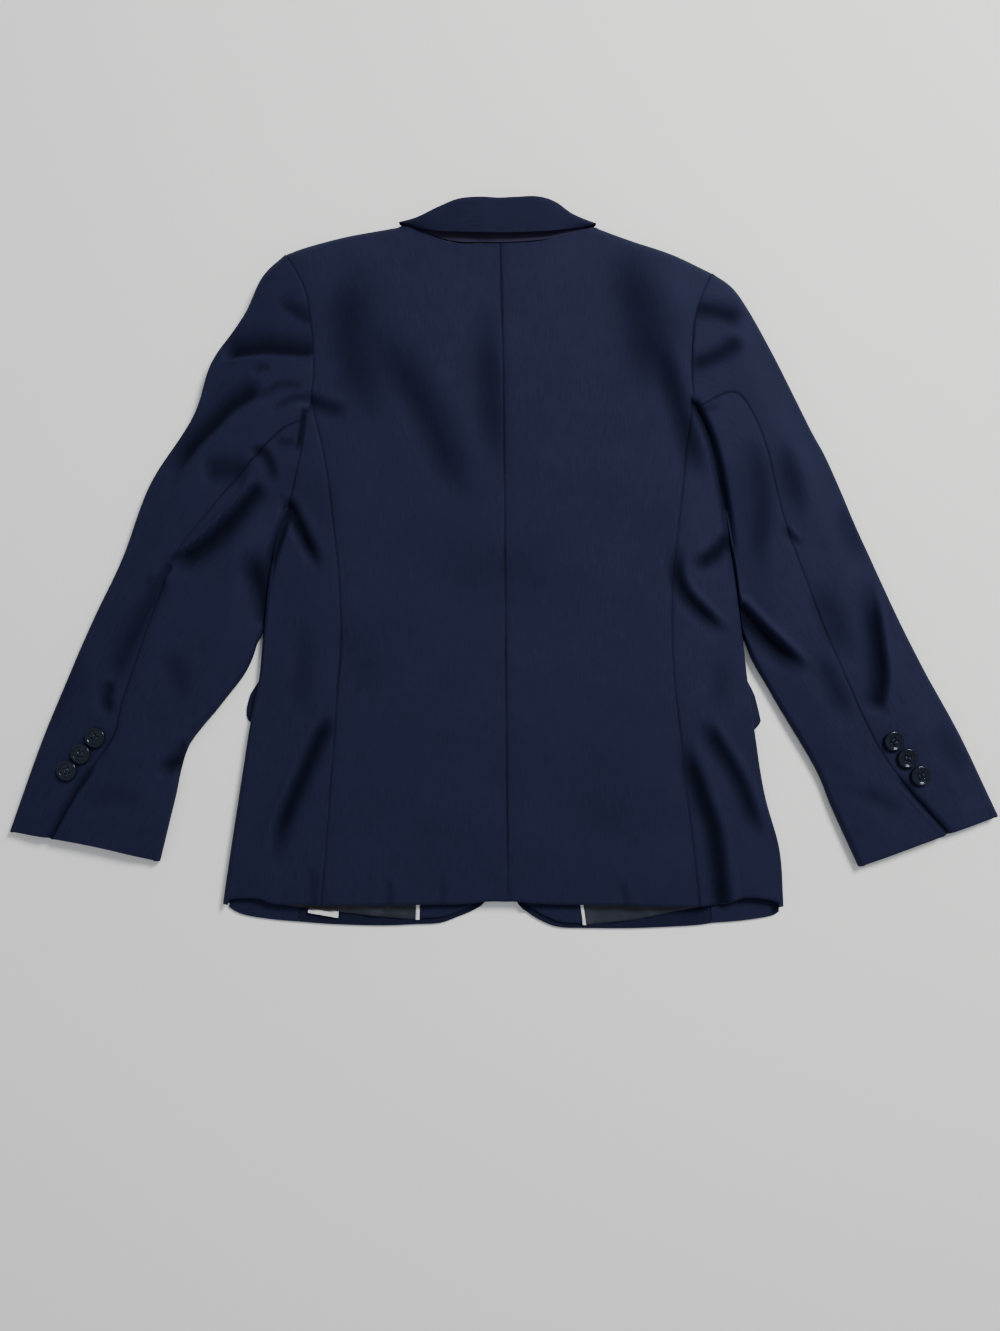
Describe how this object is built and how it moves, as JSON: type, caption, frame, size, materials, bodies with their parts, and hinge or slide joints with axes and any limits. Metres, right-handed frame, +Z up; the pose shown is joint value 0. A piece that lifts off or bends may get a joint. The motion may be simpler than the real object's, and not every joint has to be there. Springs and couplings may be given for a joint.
{
  "type": "suit jacket",
  "caption": "Child's navy single-breasted suit jacket lying flat with its back up: collar folded over, two-piece sleeves with buttoned cuff vents, cutaway front hems.",
  "frame": {"origin": "on the table under the middle of the jacket's outline", "axes": "+X to the wearer's right, which is the picture's right, +Y from hem to collar, +Z up from the table"},
  "size_m": [0.756, 0.5541, 0.0245],
  "materials": {
    "suiting": "fine smooth navy worsted with a faint sheen",
    "under_collar": "matt felt, darker purple navy",
    "lining": "grey-navy satin",
    "piping": "white satin piping",
    "label": "blank white woven tape",
    "button": "glossy near-black with a raised rim"
  },
  "bodies": {
    "root": {"back_left": "suiting", "back_right": "suiting", "care_label": "label", "collar_end_left": "suiting", "collar_end_right": "suiting", "cuff_button_left_1": "button", "cuff_button_left_2": "button", "cuff_button_left_3": "button", "cuff_button_right_1": "button", "cuff_button_right_2": "button", "cuff_button_right_3": "button", "facing_left": "suiting", "facing_right": "suiting", "front_button_1": "button", "front_button_2": "button", "front_left": "suiting", "front_right": "suiting", "lapel_left": "suiting", "lapel_right": "suiting", "lining_left": "lining", "lining_right": "lining", "piping_left": "piping", "piping_right": "piping", "pocket_flap_left": "suiting", "pocket_flap_right": "suiting", "side_left": "suiting", "side_right": "suiting", "sleeve_below_left_1": "suiting", "sleeve_below_left_2": "suiting", "sleeve_below_left_3": "suiting", "sleeve_below_right_1": "suiting", "sleeve_below_right_2": "suiting", "sleeve_below_right_3": "suiting", "top_collar": "suiting", "top_sleeve_left": "suiting", "top_sleeve_right": "suiting", "under_collar": "under_collar", "under_sleeve_left": "suiting", "under_sleeve_right": "suiting"}
  },
  "joints": []
}
